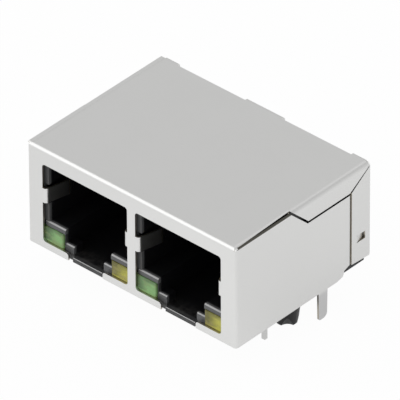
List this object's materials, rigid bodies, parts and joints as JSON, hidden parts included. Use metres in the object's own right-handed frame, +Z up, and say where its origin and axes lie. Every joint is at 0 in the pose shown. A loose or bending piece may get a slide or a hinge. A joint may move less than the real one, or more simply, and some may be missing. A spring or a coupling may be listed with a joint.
{
  "type": "rj45 board jack",
  "caption": "Shielded modular jack for a circuit board, with side-by-side ports, latch slots at the bottom, lamps beside the latches and a deep body.",
  "frame": {"origin": "midway between the two locating posts, on the face of the board that the jack sits on", "axes": "+Z up from the board, +Y from the ports to the back, +X to the right seen from the ports"},
  "size_m": [0.0312, 0.0227, 0.0172],
  "materials": {
    "shield_metal": "bright nickel-plated sheet, satin",
    "black_plastic": "fine matt moulded",
    "carrier_plastic": "fine matt moulded",
    "gold_contact": "gold-plated, bright",
    "circuit_board": "solder-mask gloss",
    "potting": "cast resin, matt",
    "ceramic_chip": "fired ceramic",
    "tinned_pin": "tinned, satin",
    "tinned_lead": "tinned, satin",
    "green_lens": "diffused lens, satin",
    "yellow_lens": "diffused lens, satin"
  },
  "bodies": {
    "root": {"housing": "black_plastic", "left_board_pin_1": "tinned_pin", "left_board_pin_2": "tinned_pin", "left_board_pin_3": "tinned_pin", "left_board_pin_4": "tinned_pin", "left_board_pin_5": "tinned_pin", "left_board_pin_6": "tinned_pin", "left_board_pin_7": "tinned_pin", "left_board_pin_8": "tinned_pin", "left_chip_capacitor": "ceramic_chip", "left_circuit_board": "circuit_board", "left_contact_1": "gold_contact", "left_contact_2": "gold_contact", "left_contact_3": "gold_contact", "left_contact_4": "gold_contact", "left_contact_5": "gold_contact", "left_contact_6": "gold_contact", "left_contact_7": "gold_contact", "left_contact_8": "gold_contact", "left_contact_carrier": "carrier_plastic", "left_green_lamp": "green_lens", "left_green_lamp_inner_lead": "tinned_lead", "left_green_lamp_outer_lead": "tinned_lead", "left_transformer_case": "potting", "left_yellow_lamp": "yellow_lens", "left_yellow_lamp_inner_lead": "tinned_lead", "left_yellow_lamp_outer_lead": "tinned_lead", "right_board_pin_1": "tinned_pin", "right_board_pin_2": "tinned_pin", "right_board_pin_3": "tinned_pin", "right_board_pin_4": "tinned_pin", "right_board_pin_5": "tinned_pin", "right_board_pin_6": "tinned_pin", "right_board_pin_7": "tinned_pin", "right_board_pin_8": "tinned_pin", "right_chip_capacitor": "ceramic_chip", "right_circuit_board": "circuit_board", "right_contact_1": "gold_contact", "right_contact_2": "gold_contact", "right_contact_3": "gold_contact", "right_contact_4": "gold_contact", "right_contact_5": "gold_contact", "right_contact_6": "gold_contact", "right_contact_7": "gold_contact", "right_contact_8": "gold_contact", "right_contact_carrier": "carrier_plastic", "right_green_lamp": "green_lens", "right_green_lamp_inner_lead": "tinned_lead", "right_green_lamp_outer_lead": "tinned_lead", "right_transformer_case": "potting", "right_yellow_lamp": "yellow_lens", "right_yellow_lamp_inner_lead": "tinned_lead", "right_yellow_lamp_outer_lead": "tinned_lead", "shield": "shield_metal"}
  },
  "joints": []
}
